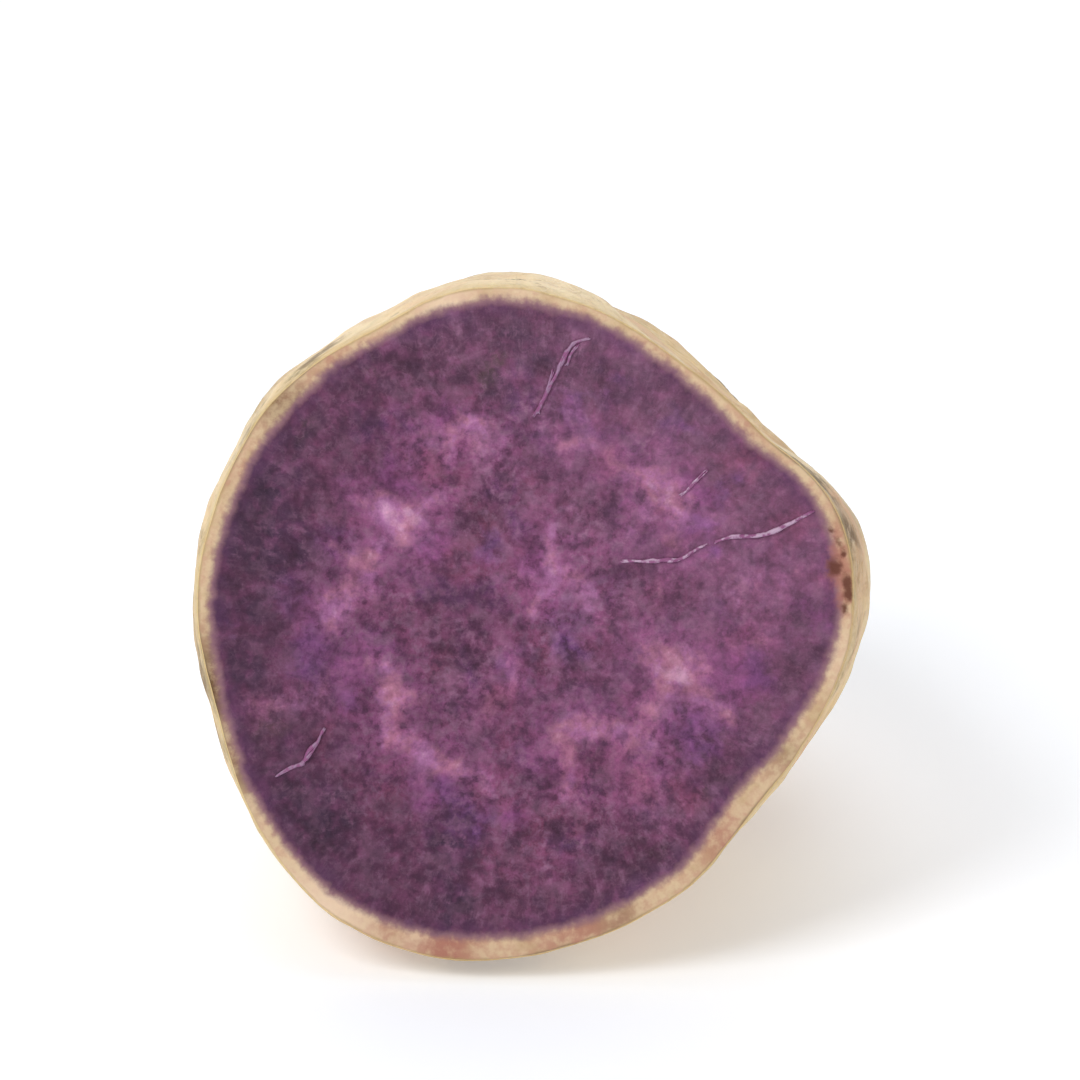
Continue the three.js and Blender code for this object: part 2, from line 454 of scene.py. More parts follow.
flesh = {
    "strokes": (               # half width, strength, then the points that it runs through, as (x, z)
        (1.5, 0.80, ((-17.6, 12.8), (-14.8, 10.9))),
        (1.2, 0.75, ((-14.8, 10.9), (-11.0, 13.5))),
        (1.7, 1.00, ((-15.6, 11.0), (-13.9, 10.6))),
        (0.9, 0.70, ((-14.8, 10.5), (-16.8, 7.8), (-19.0, 5.5))),
        (1.2, 0.45, ((-14.5, 10.4), (-12.0, 9.3))),
        (1.2, 0.50, ((-14.6, 10.0), (-14.3, 8.0))),
        (1.1, 0.35, ((-20.2, 13.4), (-17.5, 12.8))),
        (2.0, 0.55, ((-19.4, 6.4), (-20.0, 3.2), (-21.5, 1.5), (-23.0, -0.6))),
        (1.0, 0.40, ((-22.4, 7.4), (-19.5, 5.0))),
        (0.9, 0.50, ((-14.0, 16.4), (-13.7, 19.0), (-11.8, 20.6), (-9.6, 19.2), (-9.2, 16.8))),
        (1.1, 0.50, ((-10.6, 21.2), (-8.6, 21.8), (-7.0, 21.4))),
        (1.3, 0.78, ((-7.4, 21.4), (-5.4, 21.6), (-4.4, 20.4))),
        (0.9, 0.45, ((-9.8, 19.2), (-8.0, 21.2))),
        (1.8, 0.32, ((-6.0, 19.0), (-3.2, 18.6))),
        (1.3, 0.55, ((2.8, 19.6), (5.6, 20.0), (8.6, 18.6), (11.0, 16.8), (15.2, 15.8))),
        (2.0, 0.80, ((14.6, 15.6), (16.2, 13.6))),
        (1.5, 0.55, ((16.2, 13.8), (17.4, 12.2), (17.0, 10.4), (16.5, 8.4))),
        (0.7, 0.50, ((15.0, 14.0), (13.4, 12.4), (11.0, 9.4))),
        (1.4, 0.35, ((5.0, 26.4), (5.2, 21.0))),
        (1.1, 0.75, ((2.0, 9.8), (3.0, 6.4), (3.4, 5.0))),
        (1.6, 0.72, ((3.2, 5.2), (6.6, 3.8))),
        (1.1, 0.50, ((3.2, 5.0), (-2.4, 5.0))),
        (1.0, 0.70, ((3.2, 4.8), (1.4, 2.2), (0.4, 0.0))),
        (1.2, 0.50, ((6.6, 3.4), (7.2, 0.8))),
        (4.0, 0.36, ((24.0, 6.0), (29.5, 4.6))),
        (2.4, 0.26, ((25.0, 2.0), (28.0, 0.8))),
        (2.4, 0.40, ((-31.0, -11.2), (-27.0, -10.6), (-24.4, -9.6), (-21.8, -7.4))),
        (1.5, 0.60, ((-23.0, -0.6), (-22.6, 1.0))),
        (1.2, 0.38, ((-18.2, 4.4), (-17.7, 1.8))),
        (1.4, 0.50, ((-18.5, -6.0), (-15.6, -6.4))),
        (1.2, 0.70, ((-16.0, -6.6), (-15.4, -9.4))),
        (1.4, 0.90, ((-16.0, -9.2), (-15.0, -9.6))),
        (1.2, 0.45, ((-14.8, -9.6), (-12.6, -9.5))),
        (1.4, 0.55, ((-15.4, -9.6), (-16.0, -12.0), (-16.0, -13.6))),
        (1.3, 0.68, ((-16.0, -13.9), (-14.3, -14.5), (-10.5, -17.2), (-7.5, -17.4))),
        (1.2, 0.50, ((-12.5, -16.0), (-10.5, -17.4))),
        (1.3, 0.50, ((-7.5, -17.6), (-5.4, -18.6), (-3.8, -20.6))),
        (1.2, 0.40, ((-11.4, -18.4), (-12.2, -21.0))),
        (0.7, 0.35, ((-7.0, -1.5), (-6.4, -5.0))),
        (0.9, 0.50, ((-1.4, -5.4), (-1.4, -7.8))),
        (1.1, 0.35, ((-2.6, -8.8), (-4.0, -10.6))),
        (2.0, 0.82, ((17.2, -6.0), (19.2, -5.6))),
        (1.3, 0.70, ((15.2, -6.4), (17.2, -6.0))),
        (1.4, 0.60, ((15.6, -5.4), (13.8, -4.0))),
        (1.5, 0.30, ((13.8, -4.0), (10.8, -3.2), (6.6, -2.8))),
        (1.2, 0.40, ((17.2, -6.8), (17.4, -9.4))),
        (1.1, 0.50, ((17.6, -5.5), (18.8, -3.6))),
        (1.4, 0.60, ((16.6, -6.5), (15.6, -9.5), (14.5, -11.0))),
        (1.3, 0.70, ((18.6, -6.5), (19.5, -9.0), (21.5, -9.6), (23.2, -11.2))),
        (0.8, 0.50, ((22.0, -2.4), (24.5, -3.0), (26.8, -2.2))),
        (1.2, 0.42, ((15.2, 5.0), (15.0, 1.0), (15.6, -3.5), (16.6, -5.5))),
        (1.6, 0.76, ((4.2, -13.4), (6.6, -12.8), (9.0, -12.7), (11.4, -13.3), (13.4, -14.2))),
        (1.7, 0.55, ((4.2, -13.4), (4.8, -17.0), (4.8, -20.5))),
        (2.6, 0.26, ((4.8, 13.4), (8.0, 11.4))),
        (3.0, 0.24, ((-12.0, -11.6), (-8.4, -12.6), (-5.0, -12.2))),
        (2.4, 0.26, ((28.0, 11.6), (31.6, 10.8))),
        (2.4, 0.36, ((12.4, -14.5), (13.6, -17.5), (14.4, -20.4), (15.0, -22.0))),
    ),
    "spots": {                 # where the flesh turns another colour: x, z, size, strength
        "violet": (
            (5.0, 25.0, 1.8, 0.8), (5.2, 21.8, 1.8, 0.7), (22.5, 15.0, 2.0, 0.7),
            (19.8, 10.0, 1.4, 1.0), (-24.0, -3.2, 2.2, 0.8), (-25.0, -6.6, 2.8, 0.7),
            (-20.6, -10.6, 2.4, 0.6), (-9.0, -20.6, 2.0, 1.0), (-5.4, -23.6, 1.8, 0.8),
            (-1.4, -6.6, 1.6, 0.6), (5.0, -3.0, 2.0, 0.8), (26.0, -5.6, 2.0, 0.9),
            (19.4, -13.0, 2.8, 0.9), (-5.0, 7.6, 2.0, 0.7), (-22.6, 8.0, 1.8, 0.6),
            (-12.0, 9.4, 1.6, 0.6), (-27.0, 2.0, 3.0, 0.5), (9.0, 3.0, 2.0, 0.5),
            (-34.0, -1.0, 1.8, 0.6), (17.0, 23.0, 1.8, 0.6), (3.8, 0.4, 2.2, 0.6),
            (8.8, 27.0, 1.8, 0.6),
        ),
        "magenta": (
            (-15.6, 15.4, 2.0, 0.9), (19.0, 15.0, 2.0, 0.8), (-20.4, -7.4, 1.8, 0.9),
            (-12.0, -20.2, 2.0, 0.9), (-2.0, -23.4, 2.2, 0.9), (23.6, -6.0, 4.0, 0.7),
            (4.4, -19.0, 1.8, 0.6), (2.6, 6.0, 2.4, 0.6), (-22.6, 0.2, 2.0, 0.7),
            (18.4, -15.2, 3.4, 0.6), (32.8, 1.0, 2.2, 0.6), (-9.6, 22.2, 2.0, 0.6),
            (25.5, -7.6, 3.2, 0.6), (18.6, 10.6, 2.2, 0.7), (-10.6, 7.4, 2.0, 0.6),
            (0.4, 5.6, 2.0, 0.7),
        ),
        "rosy": (
            (26.0, 18.4, 2.2, 0.8), (-8.6, 7.6, 2.0, 0.8), (-11.7, 17.4, 1.8, 0.9),
            (-8.4, 15.4, 2.0, 0.7), (-20.6, 11.2, 1.8, 0.6), (-2.0, -9.6, 1.8, 0.8),
            (5.4, -24.2, 2.0, 0.8), (34.6, 4.6, 1.8, 0.7), (33.2, 11.6, 1.5, 0.7),
            (33.0, -6.6, 1.8, 0.6), (8.8, 18.0, 2.6, 0.6), (15.0, 13.4, 2.4, 0.8),
            (15.0, 3.0, 2.2, 0.6), (11.2, -9.4, 2.4, 0.4), (-5.0, -20.8, 2.0, 0.7),
            (9.6, -15.8, 2.2, 0.6), (-13.6, -16.4, 2.4, 0.6), (-16.0, -12.6, 2.2, 0.5),
            (24.6, -3.0, 3.0, 0.8), (5.6, -18.4, 2.6, 0.8), (26.0, -9.0, 3.4, 0.5),
            (30.6, 11.0, 2.6, 0.7), (13.0, -18.6, 2.6, 0.6), (23.4, 19.0, 2.6, 0.6),
            (17.7, -13.8, 1.8, 0.5), (15.3, -7.2, 1.8, 0.7), (-18.0, 1.2, 1.8, 0.6),
            (18.6, -20.6, 2.6, 0.6),
        ),
        "slate": (
            (-23.4, -24.0, 4.4, 0.9), (-8.4, -27.6, 2.8, 0.8), (-8.2, -33.6, 3.0, 0.7),
            (-32.6, -7.0, 3.0, 0.9), (-31.6, 8.0, 4.6, 0.9), (-30.4, 14.4, 3.4, 0.8),
            (-26.6, 20.6, 3.2, 0.8), (-2.6, 32.4, 3.6, 0.6), (-5.2, 25.6, 3.2, 0.7),
            (1.6, 29.8, 2.8, 0.6), (-25.0, 8.6, 2.8, 0.5), (6.4, 29.0, 2.2, 0.6),
            (-24.4, 4.8, 1.8, 0.5), (-31.0, 0.4, 3.6, 0.7), (-17.0, -31.0, 3.6, 0.4),
            (-28.0, -19.5, 3.4, 0.6),
        ),
        "pocket": (
            (9.6, -7.0, 4.8, 0.8), (-8.8, -0.8, 4.6, 0.5), (8.6, 10.8, 3.2, 0.4),
            (-11.0, -11.8, 2.6, 0.5), (11.2, 6.4, 2.8, 0.4), (-3.4, 12.6, 3.6, 0.4),
            (24.6, -15.0, 4.0, 0.5), (-16.4, 2.4, 2.4, 0.5), (8.4, -17.2, 2.2, 0.6),
            (-23.0, 23.0, 4.4, 0.5), (20.0, 20.6, 3.6, 0.6), (-18.4, 27.0, 3.6, 0.5),
            (0.6, 17.6, 2.6, 0.6), (-5.6, 0.4, 3.0, 0.5), (31.0, -5.8, 3.0, 0.9),
            (24.6, -19.4, 3.4, 0.8), (18.0, -29.0, 3.2, 0.7), (-7.8, 29.4, 2.6, 0.8),
            (9.6, -26.4, 2.6, 0.7), (11.0, 26.4, 2.4, 0.6), (-7.6, -20.6, 1.6, 0.6),
            (5.0, -10.2, 2.0, 0.6), (9.4, 2.0, 1.8, 0.6), (-12.8, 24.0, 2.0, 0.6),
        ),
        "olive": (
            (-4.8, 29.0, 2.2, 0.9), (-30.4, -13.6, 2.8, 0.9), (-26.0, 21.0, 2.4, 0.6),
            (20.6, -20.2, 1.8, 0.6), (16.0, -27.0, 1.7, 0.6), (-19.0, 28.6, 1.8, 0.5),
            (9.4, -34.0, 1.5, 0.5),
        ),
    },
    "haloWidth": 2.7,          # the rosy flesh round a stroke, as a share of the stroke's width
    "pushes": ((0.28, 1.1), (0.8, 0.7), (1.9, 0.4)),       # noises that push the pattern: scale, mm
    "ragged": (0.45, 2.2),     # and one that makes the spots ragged
    "calmMiddle": 5.0,         # within so many mm of the middle it is pushed less
    "cortex": (                # mm of pale cortex between the skin and the purple, every 20 degrees
        1.4, 1.5, 1.3, 1.1, 1.4, 1.5, 1.1, 1.9, 1.6, 1.4, 0.8, 1.5, 2.1, 2.6, 2.2, 2.2, 2.6, 2.1,
    ),
    "rimPatches": {            # where the cortex or the peel is another colour, or carries painted shade: angle, spread, strength
        # rind: brown painted shade on the cortex, where the rim lies in shade
        "rind": ((140, 5, 0.9), (194, 9, 1.0), (207, 8, 0.7), (288, 4, 0.4), (332, 5, 0.35)),
        # blush: pink cortex; near the bottom, about 250 to 290 degrees, it is also painted shade
        "blush": (
            (257, 6, 1.0), (247, 4, 0.5), (280, 8, 0.8), (312, 6, 0.7), (14, 5, 0.6), (128, 4, 0.5),
            (155, 4, 0.4), (41, 3, 0.5), (66, 4, 0.3),
        ),
        "cream": ((237, 8, 1.0), (106, 6, 0.8), (94, 5, 0.4), (252, 3, 0.5), (354, 5, 0.4), (216, 4, 0.3)),
        # peel: the peel line's own colour, with painted shade where the outline lies in shade
        "peel": (
            (26, 10, 1.0), (195, 14, 1.0), (320, 16, 0.7), (276, 14, 0.7), (150, 8, 0.6), (134, 6, 0.7),
            (348, 6, 0.6),
        ),
    },
    "sore": (9, 36.6, 1.7, 5.2),   # hurt skin at the face's edge: angle, radius, width, length
    "soreSpots": (             # and dark spots that have dried into it: angle, radius, size
        (10.2, 35.8, 1.0), (7.4, 36.9, 0.8), (5.2, 37.0, 0.8), (14.5, 36.7, 0.5), (17.0, 36.2, 0.4),
        (12.4, 37.0, 0.5), (2.4, 36.4, 0.5),
    ),
}


def alongStroke(x, z, width, points):      # 1 on its middle line, fading out across its half width
    nearest = 1e9
    for (fromX, fromZ), (toX, toZ) in zip(points, points[1:]):
        runX, runZ = toX - fromX, toZ - fromZ
        share = ((x - fromX) * runX + (z - fromZ) * runZ) / (runX * runX + runZ * runZ)
        share = min(1.0, max(0.0, share))
        nearest = min(nearest, math.hypot(x - fromX - runX * share, z - fromZ - runZ * share))
    return math.exp(-(nearest / width) ** 2)


def rimSpot(x, z, angle, radius, width, length):   # 1 at its middle; its length runs along the rim
    turn = math.radians(angle)
    awayX, awayZ = x - radius * math.cos(turn), z - radius * math.sin(turn)
    across = awayX * math.cos(turn) + awayZ * math.sin(turn)
    along = awayZ * math.cos(turn) - awayX * math.sin(turn)
    return math.exp(-(across / width) ** 2 - (along / length) ** 2)


def paintPattern(at, place, reach, values):        # the strokes and the spots, pushed about by noise
    push = Vector((0, 0, 0))
    for scale, amount in flesh["pushes"]:
        push += noise.noise_vector(place * scale) * amount
    scale, amount = flesh["ragged"]
    calm = smoothStep(reach, 0.0, flesh["calmMiddle"])
    ragged = noise.noise_vector(place * scale) * amount * calm
    push = push * calm
    x, z = place.x + push.x, place.z + push.z
    pale, halo = 1.0, 1.0
    for width, strength, points in flesh["strokes"]:
        pale *= 1 - min(0.97, strength * alongStroke(x, z, width, points))
        halo *= 1 - min(0.9, strength * alongStroke(x, z, width * flesh["haloWidth"], points))
    values["pale"][at] = (1 - pale) * (0.85 + 0.4 * noise.noise(place * 0.7))
    values["halo"][at] = 1 - halo
    for name, spots in flesh["spots"].items():
        left = 1.0
        for spotX, spotZ, size, strength in spots:
            away = math.hypot(x + ragged.x - spotX, z + ragged.z - spotZ) / size
            left *= 1 - strength * math.exp(-away ** 2)
        values[name][at] = 1 - left


def paintFlesh(mesh, values, radii):
    for vert in mesh.vertices:
        if vert.co.y > half["cutDepth"]:
            continue
        at = vert.index
        x, z = vert.co.x, vert.co.z
        reach = math.hypot(x, z)
        angle = math.degrees(math.atan2(z, x)) if reach > 0.01 else 0.0
        values["fromRim"][at] = max(0.0, towardAngle(radii, angle) - reach)
        values["cortex"][at] = towardAngle(flesh["cortex"], angle)
        for name, patches in flesh["rimPatches"].items():
            values[name][at] = alongRim(angle, patches)
        paintPattern(at, Vector((x, 0, z)), reach, values)
        values["sore"][at] = rimSpot(x, z, *flesh["sore"])
        values["soreSpot"][at] = max(rimSpot(x, z, spotAngle, radius, size, size * 1.3)
                                     for spotAngle, radius, size in flesh["soreSpots"])


def dryCut(vert, place, reach, fromRim, pale):     # sunk in a little, with the flesh's fine unevenness
    inside = smoothStep(fromRim, 0.4, 3.0)
    sag = half["faceSag"] * inside * smoothStep(reach, 0, 20)
    seat = place + Vector(tuber["noiseSeat"])
    ripple = noise.fractal(seat * 0.6, 1.0, 2.0, 3) * half["faceRipple"] * inside
    vert.co.y += sag * 0.5 + ripple - 0.05 * pale * inside


def raiseSkin(vert, place, normal, lift):
    swell = noise.fractal(place / half["swellSize"], 1.0, 2.1, 2) * half["swell"]
    ripple = noise.fractal(place / half["rippleSize"], 1.0, 2.1, 2) * half["ripple"]
    past = place.y - tuber["bodyLength"]
    body = (swell + ripple) * smoothStep(place.y, 0.3, 5.0) * (1 - smoothStep(past, -4, 0))
    vert.co += normal * (body + lift * smoothStep(place.y, 0.3, 1.6))


def roughenStub(vert, place, normal, reach):       # ridges along it and a torn end
    past = place.y - tuber["bodyLength"]
    stub = smoothStep(past, -1.5, 1.5)
    if stub > 0:
        middle = middleAt(place.y)
        around = math.atan2(place.z - middle.z, place.x - middle.x)
        seat = Vector((math.cos(around), place.y * 0.10, math.sin(around)))
        ridge = noise.fractal(seat * 2.1, 0.8, 2.0, 3) * half["stubRidge"]
        vert.co += normal * ridge * stub
        seat = Vector((math.cos(around) * 1.3, reach * 0.15, math.sin(around) * 1.3))
        tear = (0.5 + noise.noise(seat * 1.9)) * half["stubRagged"]
        vert.co.y -= tear * smoothStep(past, 4.2, tuber["stubLength"])


def wanderRim(vert, place, reach):
    angle = math.atan2(place.z, place.x)
    edge = smoothStep(reach, 20, 34) * (1 - smoothStep(place.y, 0, 12))
    wander = noise.fractal(Vector((math.cos(angle), 0, math.sin(angle))) * 3.4, 1.0, 2.0, 3)
    vert.co.x += math.cos(angle) * wander * half["rimWave"] * edge
    vert.co.z += math.sin(angle) * wander * half["rimWave"] * edge


def shapeHalf(mesh, values, lift):
    normals = [v.normal.copy() for v in mesh.vertices]
    for at, vert in enumerate(mesh.vertices):
        place = vert.co.copy()
        reach = math.hypot(place.x, place.z)
        if place.y < half["cutDepth"]:
            dryCut(vert, place, reach, values["fromRim"][at], values["pale"][at])
        else:
            raiseSkin(vert, place, normals[at], lift[at])
            roughenStub(vert, place, normals[at], reach)
        wanderRim(vert, place, reach)


def makeHalf(nodeName):
    bm = mergedCopy(nodeName)
    remakeFace(bm)
    roundRim(bm)
    mesh = subdivided(bm)
    mesh.name = "cutSweetPotato"
    names = ("fromRim", "cortex", "sore", "soreSpot", "pale", "halo", *flesh["rimPatches"], *flesh["spots"],
             "scab", "flake", "pit", "bruise", "stain", "edgeShade")
    values = {name: [0.0] * len(mesh.vertices) for name in names}
    cut = [polygon.index for polygon in mesh.polygons
           if all(mesh.vertices[i].co.y < 0.04 for i in polygon.vertices)]
    lift = paintMarks(mesh, values)
    paintEdgeShade(mesh, values)
    paintFlesh(mesh, values, rimRadii(mesh))
    shapeHalf(mesh, values, lift)
    for name, amounts in values.items():
        mesh.attributes.new(name, "FLOAT", "POINT").data.foreach_set("value", amounts)
    for polygon in mesh.polygons:
        polygon.use_smooth = True
    for index in cut:
        mesh.polygons[index].material_index = 1
    mesh.transform(fromTuber)
    mesh.update()
    print("half tuber:", len(mesh.vertices), "vertices,", len(mesh.polygons), "faces")
    return addObject("cut_sweet_potato", mesh)


# The skin

skinLook = {
    "cream": "#f4ddb3",
    "butter": "#edcd94",
    "peach": "#e2b48c",
    "tan": "#cfa478",
    "olive": "#c2ab80",
    "orange": "#bd8850",
    "bruise": "#8f7a66",
    "scab": "#b08f68",
    "grit": "#77583c",
    "crevice": "#5a3f29",
    "flake": "#ecd6b0",
    # painted shade on the skin next to the cut
    "edgeShade": "#715632",
    "dried": "#d6bb83",
    "speck": "#5a3f2a",
    "dot": "#a98761",
    "pit": "#452d1f",
    "stubBase": "#8c7a55",
    "stubBrown": "#5f3f28",
    "stubBlack": "#17110e",
    "roughness": 0.6,
}


def skinDots(tree, where, size, radius, share):    # lone specks, mm in radius, in a share of the cells
    near = addNode(tree, "ShaderNodeTexVoronoi", {"Vector": where, "Scale": size})
    chosen = addNode(tree, "ShaderNodeSeparateXYZ", {0: near.outputs["Color"]})
    reach = times(tree, radius * size, chosen.outputs["Y"])
    spot = calc(tree, "SUBTRACT", reach, near.outputs["Distance"])
    spot = fade(tree, spot, -0.2 * radius * size, 0.25 * radius * size)
    return times(tree, spot, fade(tree, chosen.outputs["X"], share, share - 0.05))


def skinGround(tree, where):   # the clean skin: soft zones of cream, peach and grey olive
    drift = warped(tree, where, 0.05, 14.0)
    turned = stretched(tree, drift, (1, 1, 1), (0.7, 0.3, 1.1))
    return shaded(
        tree, skinLook["cream"], skinLook,
        (grain(tree, drift, 0.035, 3, 0.55), 0.36, 0.64, 1, "butter"),
        (grain(tree, drift, 0.045, 4, 0.6), 0.44, 0.72, 0.9, "peach"),
        (grain(tree, turned, 0.06, 4, 0.62), 0.50, 0.74, 0.8, "olive"),
        (grain(tree, where, 0.22, 5, 0.68), 0.46, 0.76, 0.55, "tan"),
        (grain(tree, where, 0.14, 4, 0.6, 0.3), 0.52, 0.76, 0.6, "cream"),
    )


def skinScabs(tree, colour, gritty, crumbs, mottle, fine):     # corky crusts, their grit and their cracks
    scab = painted(tree, "scab")
    crust = plus(tree, scab, centred(tree, fine, 0.8), centred(tree, mottle, 0.9))
    crust = times(tree, fade(tree, crust, 0.24, 0.62), fade(tree, scab, 0.05, 0.25))
    grit = times(tree, skinDots(tree, gritty, 1.25, 0.5, 0.75), fade(tree, scab, 0.12, 0.6))
    bits = times(tree, skinDots(tree, stretched(tree, gritty, (1, 1.4, 1)), 0.8, 0.5, 0.28), crust)
    cracks = times(tree, fade(tree, crumbs, 0.16, 0.02), fade(tree, scab, 0.25, 0.75))
    cracks = times(tree, cracks, fade(tree, mottle, 0.40, 0.60, 0.05, 1.0))
    return coated(
        tree, colour, skinLook,
        (crust, 0.6, "scab"),
        (grit, 0.75, "grit"),
        (bits, 0.7, "flake"),
        (cracks, 0.75, "crevice"),
        (fade(tree, painted(tree, "flake"), 0.35, 0.6), 0.75, "flake"),
    )


def skinSpecks(tree, colour, where, uneven, gritty):   # the colour, and two heights that the specks dent
    crowd = fade(tree, grain(tree, where, 0.10, 3, 0.6), 0.44, 0.62)   # freckles come in crowds
    freckles = times(tree, skinDots(tree, uneven, 0.85, 0.42, 0.6), crowd)
    pepper = times(tree, skinDots(tree, gritty, 0.6, 0.32, 0.35), crowd)
    dots = skinDots(tree, uneven, 0.30, 0.55, 0.55)
    specks = skinDots(tree, uneven, 0.17, 0.75, 0.30)
    drawnOut = stretched(tree, uneven, (0.30, 1.5, 0.30), (0.3, 0.5, 0.2))
    scratches = skinDots(tree, drawnOut, 0.55, 0.55, 0.13)
    colour = coated(
        tree, colour, skinLook,
        (freckles, 0.55, "dot"),
        (pepper, 0.7, "grit"),
        (dots, 0.5, "dot"),
        (specks, 0.8, "speck"),
        (scratches, 0.6, "crevice"),
    )
    return colour, plus(tree, freckles, pepper), plus(tree, dots, specks, scratches)


def skinEnds(tree, colour, where, mottle):     # painted shade and dried skin next to the cut, and dark on the stub
    look = skinLook
    depth = addNode(tree, "ShaderNodeSeparateXYZ", {0: where}).outputs["Y"]
    # the painted shade behind the cut, broken up by the mottle
    shadedEdge = times(tree, painted(tree, "edgeShade"), fade(tree, mottle, 0.3, 0.62, 0.35, 1.1))
    dried = plus(tree, depth, centred(tree, mottle, 5.0))
    ragged = plus(tree, depth, centred(tree, grain(tree, where, 0.7, 3, 0.6), 4.0))
    fibre = grain(tree, stretched(tree, where, (2.2, 0.35, 2.2)), 1.0, 3, 0.6)
    stub = tint(tree, fade(tree, fibre, 0.4, 0.62), look["stubBrown"], look["stubBlack"])
    end = tuber["bodyLength"]
    colour = shaded(
        tree, colour, look,
        (shadedEdge, 0.1, 0.9, 0.85, "edgeShade"),
        (dried, 5.0, 0.3, 0.6, "dried"),
        (ragged, end - 5, end + 0.5, 0.8, "stubBase"),
    )
    colour = tint(tree, fade(tree, ragged, end + 0.2, end + 2.8), colour, stub)
    return shaded(tree, colour, look, (ragged, end + 3.6, end + 6.4, 0.9, "stubBlack"))


def skinMaterial():
    material, tree, shader = newMaterial("pale tuber skin")
    look = skinLook
    where = tuberSpace(tree)
    scab = painted(tree, "scab")
    mottle = grain(tree, where, 0.6, 4, 0.65)
    fine = grain(tree, where, 2.6, 3, 0.6)
    uneven = warped(tree, where, 1.1, 0.9)
    gritty = warped(tree, where, 2.4, 0.7)
    creases = grain(tree, stretched(tree, where, (0.10, 1.0, 0.10)), 0.8, 4, 0.62, 0.3)    # round the tuber
    crumbs = crackedCells(tree, warped(tree, where, 1.6, 1.3), 1.25)
    clouded = fade(tree, mottle, 0.2, 0.7, 0.5, 1.1)

    colour = shaded(
        tree, skinGround(tree, where), look,
        (times(tree, painted(tree, "bruise"), clouded), 0.05, 0.95, 0.6, "bruise"),
        (times(tree, painted(tree, "stain"), clouded), 0.1, 0.95, 0.6, "orange"),
    )
    colour = coated(tree, colour, look, (fade(tree, creases, 0.58, 0.74), 0.3, "scab"))
    colour = skinScabs(tree, colour, gritty, crumbs, mottle, fine)
    colour, freckled, pitted = skinSpecks(tree, colour, where, uneven, gritty)
    colour = shaded(
        tree, colour, look,
        (plus(tree, painted(tree, "pit"), centred(tree, fine, 0.9)), 0.28, 0.75, 0.9, "pit"),
        (fine, 0.4, 0.75, 0.12, "scab"),
    )
    rough = fade(tree, mottle, 0.3, 0.7, look["roughness"] - 0.08, look["roughness"] + 0.08)
    crumbled = times(tree, fade(tree, crumbs, 0.0, 0.35), fade(tree, scab, 0.1, 0.5))
    setInputs(tree, shader, {
        "Base Color": skinEnds(tree, colour, where, mottle),
        "Roughness": plus(tree, rough, times(tree, scab, 0.2)),
        "Specular IOR Level": 0.4,
        "Subsurface Weight": 0.12,
        "Subsurface Radius": (0.0018, 0.0011, 0.0005),
        "Subsurface Scale": 1.0,
        "Normal": bumpFrom(
            tree,
            (grain(tree, where, 0.32, 3, 0.55), 0.8, 1.8),
            (creases, 0.8, 0.6),
            (grain(tree, where, 0.9, 4, 0.6), 0.9, 0.45),
            (grain(tree, where, 4.2, 2, 0.6), 0.5, 0.08),
            (times(tree, freckled, -1.0), 0.5, 0.12),
            (times(tree, pitted, -1.0), 0.6, 0.2),
            (crumbled, 0.9, 0.3),
        ),
    })
    return material


# The cut flesh

fleshLook = {
    "purple": "#713e5c",
    "plum": "#5e3850",
    "violet": "#6a4076",
    "magenta": "#814476",
    "rosy": "#83435f",
    "mauve": "#93517a",
    "slate": "#403045",
    "dark": "#43233a",
    "light": "#8c627c",
    "bright": "#8f4f7c",
    "pale": "#ad70a0",
    "paleRosy": "#b5768c",
    "palest": "#d6a8c0",
    "olive": "#4f4038",
    "edge": "#583456",
    "pink": "#936c74",
    "cortex": "#dabf9b",
    "cortexWarm": "#cfa88b",
    "cortexTan": "#c0a377",
    "cream": "#f2d6b9",
    "blush": "#b27a68",
    # painted shade on the cortex
    "rindShade": "#735538",
    "peel": "#b39664",
    # painted shade on the peel
    "peelShade": "#54402a",
    "sore": "#b07462",
    "soreDark": "#5c3022",
    "roughness": 0.5,
}


def fleshGround(tree, where):  # purple that drifts between plum, violet and rose
    drift = warped(tree, where, 0.12, 6.0)
    turned = stretched(tree, drift, (1, 1, 1), (0.4, 1.2, 0.2))
    return shaded(
        tree, fleshLook["purple"], fleshLook,
        (grain(tree, drift, 0.09, 3, 0.55), 0.38, 0.62, 1, "plum"),
        (grain(tree, drift, 0.15, 3, 0.55), 0.48, 0.66, 0.5, "violet"),
        (grain(tree, turned, 0.17, 3, 0.6), 0.48, 0.66, 0.55, "rosy"),
    )


def towardRim(tree, where, fromRim):   # coordinates for streaks that point at the face's middle
    parts = addNode(tree, "ShaderNodeSeparateXYZ", {0: where})
    angle = calc(tree, "ARCTAN2", parts.outputs["Z"], parts.outputs["X"])
    return addNode(tree, "ShaderNodeCombineXYZ", {
        "X": times(tree, calc(tree, "COSINE", angle), 33.0),
        "Y": times(tree, fromRim, 0.22),
        "Z": times(tree, calc(tree, "SINE", angle), 33.0),
    }).outputs[0]


def broken(tree, name, ragged):         # a painted place with its edge broken up
    return plus(tree, painted(tree, name), ragged)


def fleshSpots(tree, colour, past, ragged):     # the darker ring inside the cortex, and the painted places
    ring = times(tree, fade(tree, past, 0.3, 2.2), fade(tree, past, 11.0, 3.0))
    colour = coated(tree, colour, fleshLook, (ring, 0.7, "plum"))
    return shaded(
        tree, colour, fleshLook,
        (broken(tree, "rosy", ragged), 0.15, 0.85, 0.7, "rosy"),
        (broken(tree, "magenta", ragged), 0.15, 0.85, 0.8, "magenta"),
        (broken(tree, "violet", ragged), 0.15, 0.85, 0.8, "violet"),
        (broken(tree, "slate", ragged), 0.15, 0.85, 0.85, "slate"),
        (broken(tree, "pocket", ragged), 0.1, 0.75, 0.75, "plum"),
        (broken(tree, "olive", ragged), 0.25, 0.8, 0.7, "olive"),
        (broken(tree, "halo", times(tree, ragged, 0.7)), 0.12, 0.9, 0.75, "bright"),
    )


